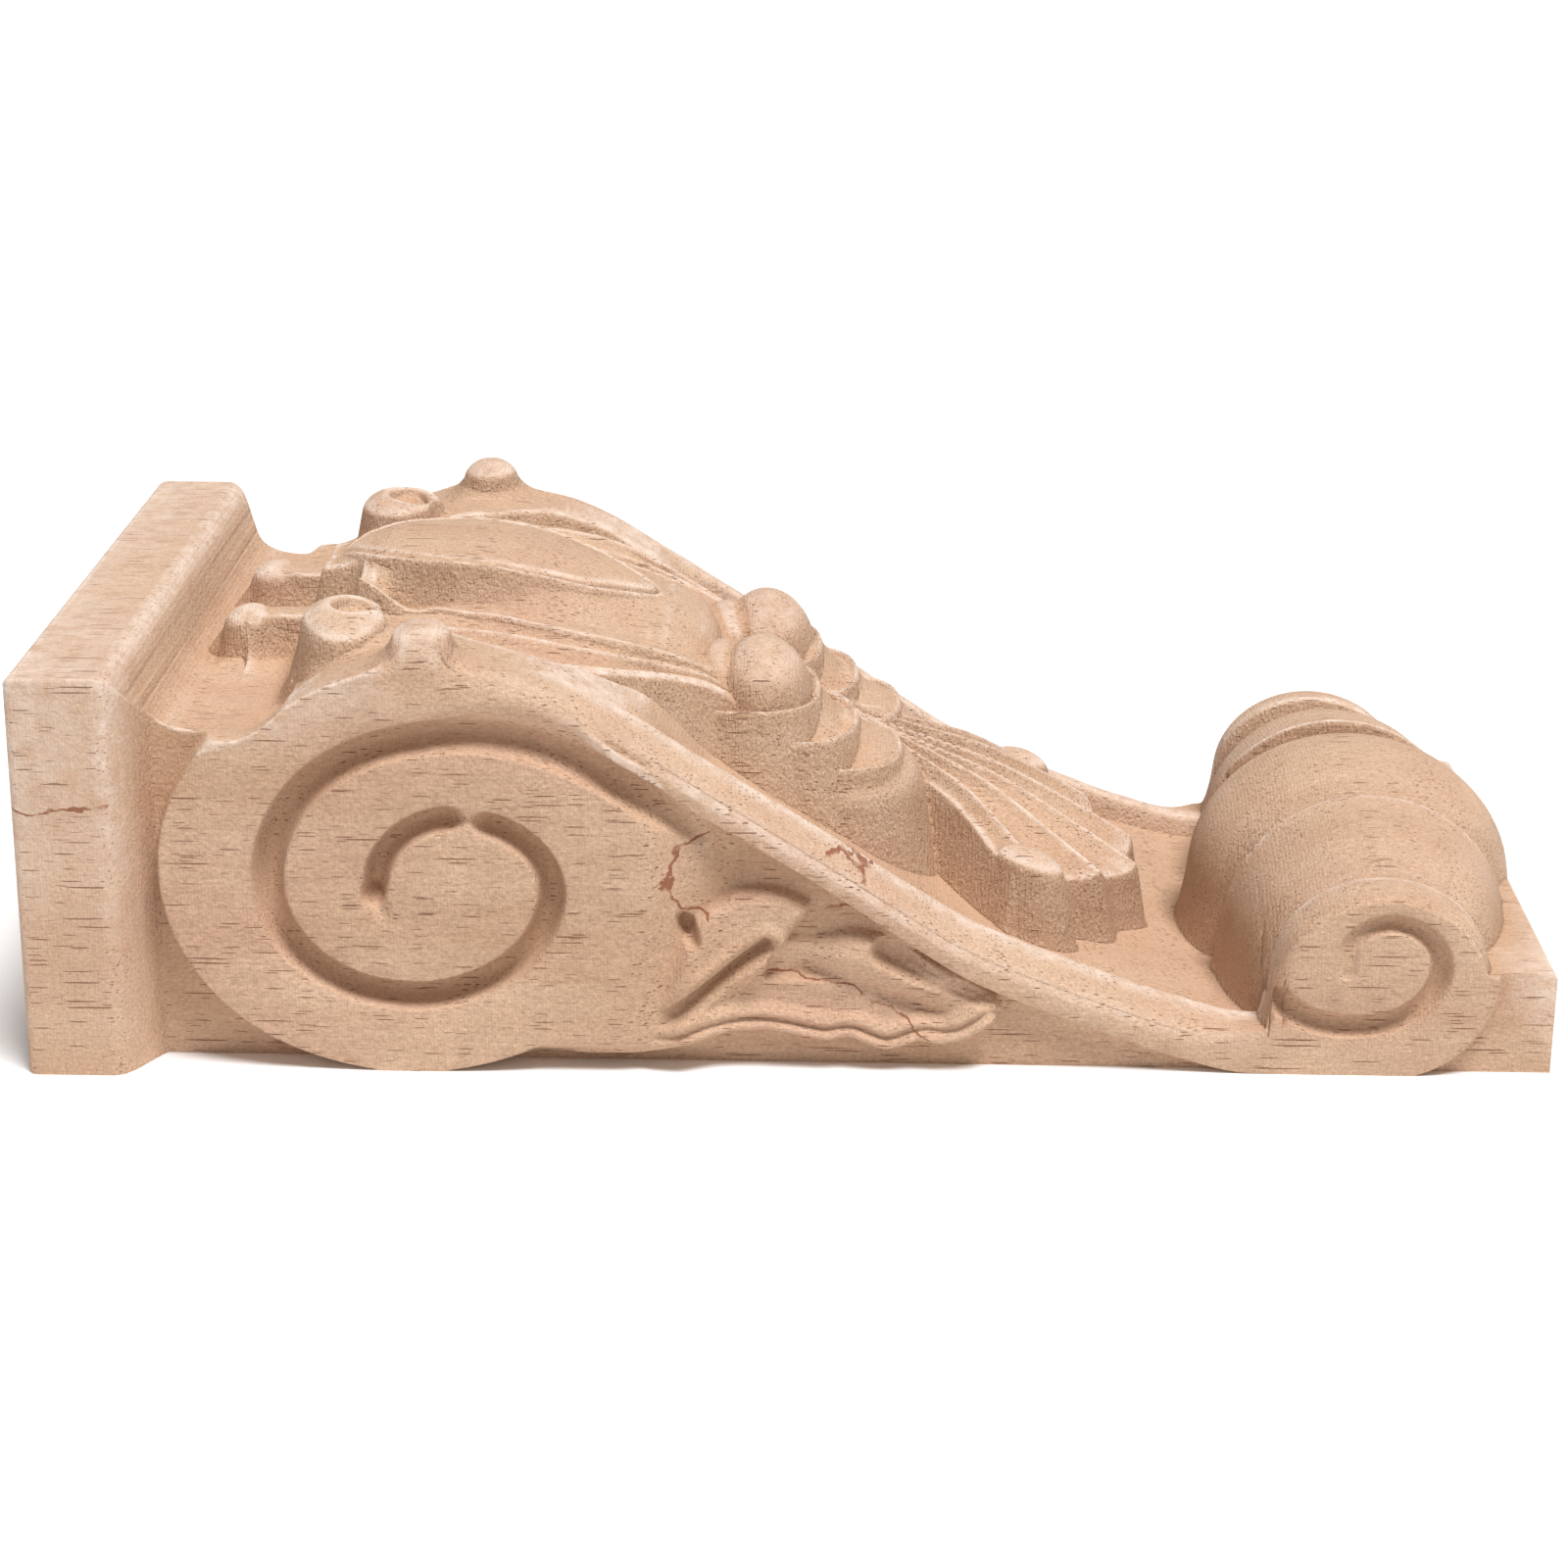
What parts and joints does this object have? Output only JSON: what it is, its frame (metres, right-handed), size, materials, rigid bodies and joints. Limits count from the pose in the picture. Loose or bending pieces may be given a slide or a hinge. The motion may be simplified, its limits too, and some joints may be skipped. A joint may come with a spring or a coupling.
{
  "type": "wooden corbel",
  "caption": "carved wooden corbel bracket: square cap, volutes on its flanks, acanthus leaf down the front and a rolled foot; fixes flat to a wall or leg and carries a shelf or mantel",
  "frame": {"origin": "middle of the flat back, where it meets the wall", "axes": "+X along the corbel from the cap to the foot, +Y across its front, +Z out of the wall towards the carved front"},
  "size_m": [0.2, 0.102, 0.0609],
  "materials": {
    "pale_wood": "raw, sanded, unvarnished rubberwood"
  },
  "bodies": {
    "root": {"corbel": "pale_wood"}
  },
  "joints": []
}
